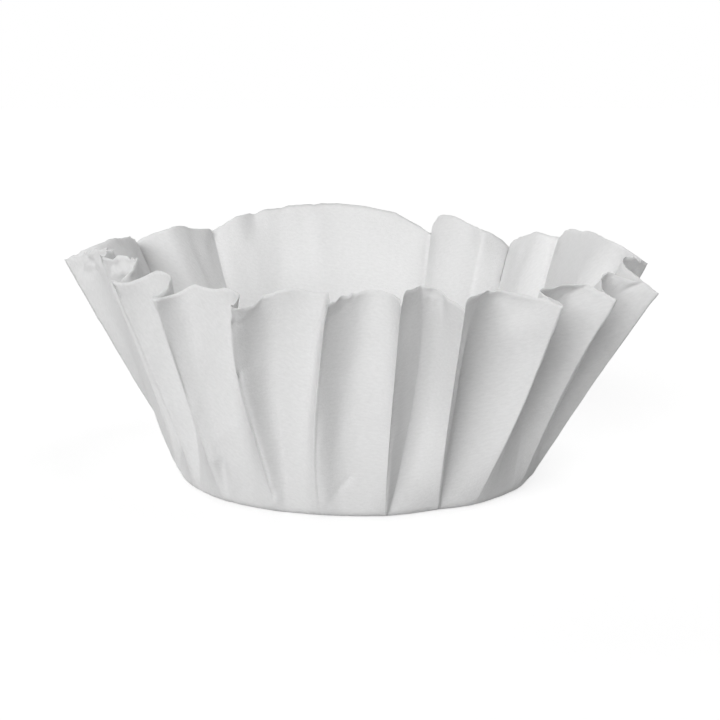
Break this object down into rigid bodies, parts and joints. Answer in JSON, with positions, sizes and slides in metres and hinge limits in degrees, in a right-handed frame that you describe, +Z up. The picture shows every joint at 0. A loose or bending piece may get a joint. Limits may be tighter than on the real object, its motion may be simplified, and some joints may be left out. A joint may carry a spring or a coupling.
{
  "type": "paper coffee filter",
  "caption": "Round flat-floored paper filter with a flared, loosely pleated wall and a cut upper edge, open at the top to hold ground coffee.",
  "frame": {"origin": "middle of the round floor's underside, where the filter rests", "axes": "+Z up out of the open mouth, -Y towards the front narrow pleats, +Y towards the wide smooth panel"},
  "size_m": [0.1474, 0.1422, 0.0603],
  "materials": {
    "filter_paper": "matte"
  },
  "bodies": {
    "root": {"filter_sheet": "filter_paper"}
  },
  "joints": []
}
